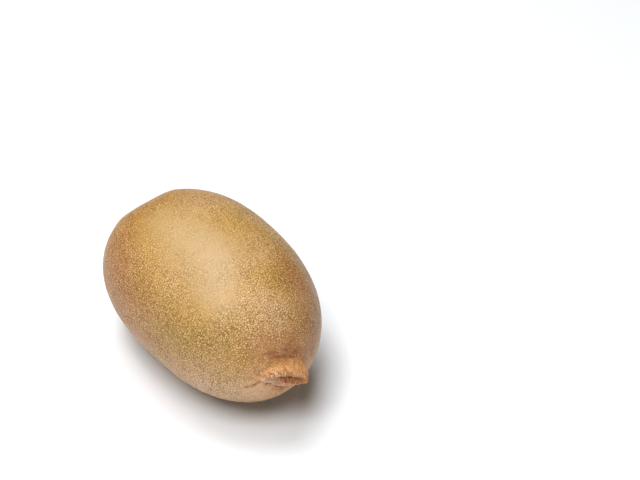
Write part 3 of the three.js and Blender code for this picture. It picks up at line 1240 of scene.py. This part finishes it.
@dataclass
class DriedStyles:
    """The dried styles: a tuft of thin crooked stubs in the crater, in millimetres."""

    form: FruitForm = field(default_factory=FruitForm)
    finish: DriedFinish = DriedFinish("dried_style", srgb(160, 92, 54), srgb(234, 170, 124))
    count: int = 44
    golden_turn: float = math.pi * (3 - math.sqrt(5))
    along: float = 2.2
    upward: float = -0.6
    reach_long: float = 3.3
    reach_short: float = 1.1
    rooted: float = 0.3
    length: float = 1.9
    radius: float = 0.15
    taper: float = 0.55
    sides: int = 6
    cuts: int = 4
    lean: float = 26.0
    bend: float = 0.3
    gnarl: float = 0.06

    def build(self) -> bpy.types.Object:
        """Builds the tuft.

        Returns:
            The finished piece.
        """
        rng = random.Random(7)
        bm = bmesh.new()
        for index in range(self.count):
            spread = math.sqrt((index + 0.5) / self.count)
            self._add_style(bm, index * self.golden_turn, spread, rng)
        return ride_on_fruit(make_piece("dried_styles", bm, self.finish.material()))

    def _add_style(self, bm: bmesh.types.BMesh, angle: float, spread: float, rng: random.Random) -> None:
        """Adds one crooked stub, rooted under the crater's floor.

        Args:
            bm: The tuft.
            angle: The stub's angle round the tuft's middle.
            spread: How far out it stands, from 0 to 1.
            rng: Where its chances come from.
        """
        place, settle = self.form.beak.from_rim, self.form.settle
        across = self.along + self.reach_long * spread * math.cos(angle)
        upward = self.upward + self.reach_short * spread * math.sin(angle)
        foot = -self.form.beak.crater_depth * math.sqrt(1 - spread**2 / 2) - self.rooted
        lean = math.radians(self.lean) * spread * rng.uniform(0.4, 1.3)
        length = self.length * rng.uniform(0.6, 1.1)
        out, rise = length * math.sin(lean), length * math.cos(lean)
        root = settle(place(foot, across, upward))
        tip = settle(place(foot + rise, across + out * math.cos(angle), upward + out * math.sin(angle)))
        upright = tip - root
        stub = bmesh.new()
        bmesh.ops.create_cone(
            stub,
            cap_ends=True,
            segments=self.sides,
            radius1=self.radius,
            radius2=self.radius * self.taper,
            depth=upright.length,
        )
        flanks = [edge for edge in stub.edges if abs(edge.verts[0].co.z - edge.verts[1].co.z) > 0.1]
        bmesh.ops.subdivide_edges(stub, edges=flanks, cuts=self.cuts)
        bend = Vector((rng.uniform(-self.bend, self.bend), rng.uniform(-self.bend, self.bend), 0))
        for vert in stub.verts:
            share = vert.co.z / upright.length + 0.5
            vert.co += bend * share * share + self.gnarl * self._gnarls(vert.co * 2 + root)
        turn = Vector((0, 0, 1)).rotation_difference(upright).to_matrix().to_4x4()
        bmesh.ops.transform(stub, matrix=Matrix.Translation((root + tip) / 2) @ turn, verts=stub.verts)
        join(bm, stub)

    def _gnarls(self, point: Vector) -> Vector:
        """Lumpy noise to all three sides, each read from a place of its own."""
        return Vector([noise.noise(point + Vector((away, 0, 0))) for away in (0.0, 31.0, 67.0)])


# ---------------------------------------------------------------------------------------------
# Studio
# ---------------------------------------------------------------------------------------------


@dataclass(frozen=True)
class SoftLight:
    """A soft light: where it stands from the fruit, how long, high and bright it is."""

    name: str
    toward: tuple[float, float, float]
    distance: float
    length: float
    height: float
    power: float

    def build(self, aim: Vector) -> None:
        """Hangs the light so that it faces the fruit.

        Args:
            aim: The point that it faces, in frame metres.
        """
        light = bpy.data.lights.new(self.name, "AREA")
        light.shape = "RECTANGLE"
        light.size, light.size_y = self.length, self.height
        light.energy = self.power
        lamp = bpy.data.objects.new(self.name, light)
        away = Vector(self.toward).normalized()
        lamp.location = aim + away * self.distance
        lamp.rotation_euler = away.to_track_quat("Z", "Y").to_euler()
        bpy.context.scene.collection.objects.link(lamp)


@dataclass
class Studio:
    """The pale floor, the soft lights, the white surroundings and the camera.

    The camera aims beside and above body_point. Those three, lit_point and floor_gap are in
    millimetres, and the other lengths in metres.
    """

    azimuth: float = 53.31
    elevation: float = 38.68
    distance: float = 0.6
    lens: float = 119.5
    beside: float = 33.5
    above: float = 12.17
    body_point: tuple[float, float, float] = (-7.59, -1.18, 24.0)
    floor_half: float = 1.5
    floor_gap: float = 0.02
    lit_point: tuple[float, float, float] = (0.0, 0.0, 22.0)
    lights: tuple[SoftLight, ...] = (
        SoftLight("front_softbox", (0.244, -0.401, 0.883), 0.8, 0.4, 0.4, 4.8),
        SoftLight("overhead_softbox", (-0.262, 0.028, 0.966), 0.8, 0.5, 0.5, 5.1),
        SoftLight("left_softbox", (-0.448, -0.422, 0.788), 0.8, 1.1, 0.35, 1.0),
        SoftLight("low_fill", (0.884, -0.347, 0.309), 0.8, 0.4, 0.4, 0.75),
    )
    surroundings: float = 0.03

    def build(self) -> None:
        """Builds the whole studio."""
        self._floor()
        self._surroundings()
        for light in self.lights:
            light.build(Vector(self.lit_point) * MM)
        self._camera()
        bpy.context.scene.view_settings.view_transform = "Standard"
        bpy.context.scene.view_settings.look = "None"

    def _floor(self) -> None:
        """Lays the floor just under the fruit."""
        bm = bmesh.new()
        bmesh.ops.create_grid(bm, x_segments=4, y_segments=4, size=self.floor_half / MM)
        bmesh.ops.translate(bm, vec=Vector((0, 0, -self.floor_gap)), verts=bm.verts)
        make_piece("studio_floor", bm, FloorFinish().material())

    def _surroundings(self) -> None:
        """Sets the even white light that comes from all round."""
        world = bpy.data.worlds.new("white_room")
        world.use_nodes = True
        back = world.node_tree.nodes["Background"]
        back.inputs["Color"].default_value = (1.0, 1.0, 1.0, 1.0)
        back.inputs["Strength"].default_value = self.surroundings
        bpy.context.scene.world = world

    def _camera(self) -> None:
        """Stands the camera so that the fruit lies left of and below the middle of the frame."""
        turn, rise = math.radians(self.azimuth), math.radians(self.elevation)
        right = Vector((math.cos(turn), math.sin(turn), 0))
        back = Vector((math.sin(turn) * math.cos(rise), -math.cos(turn) * math.cos(rise), math.sin(rise)))
        up = back.cross(right)
        aim = (Vector(self.body_point) + right * self.beside + up * self.above) * MM
        data = bpy.data.cameras.new("studio_camera")
        data.lens = self.lens
        data.clip_start = 0.01
        camera = bpy.data.objects.new("studio_camera", data)
        camera.location = aim + back * self.distance
        camera.rotation_euler = back.to_track_quat("Z", "Y").to_euler()
        bpy.context.scene.collection.objects.link(camera)
        bpy.context.scene.camera = camera


def report(piece: bpy.types.Object) -> None:
    """Logs a piece's name and how many faces it has."""
    LOG.info("%s: %d faces", piece.name, len(piece.data.polygons))


def main() -> None:
    """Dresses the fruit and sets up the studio."""
    logging.basicConfig(level=logging.INFO)
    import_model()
    makers: tuple[Callable[[], bpy.types.Object], ...] = (Skin().build, DriedStyles().build)
    for make in makers:
        report(make())
    Studio().build()


if __name__ == "__main__":
    main()
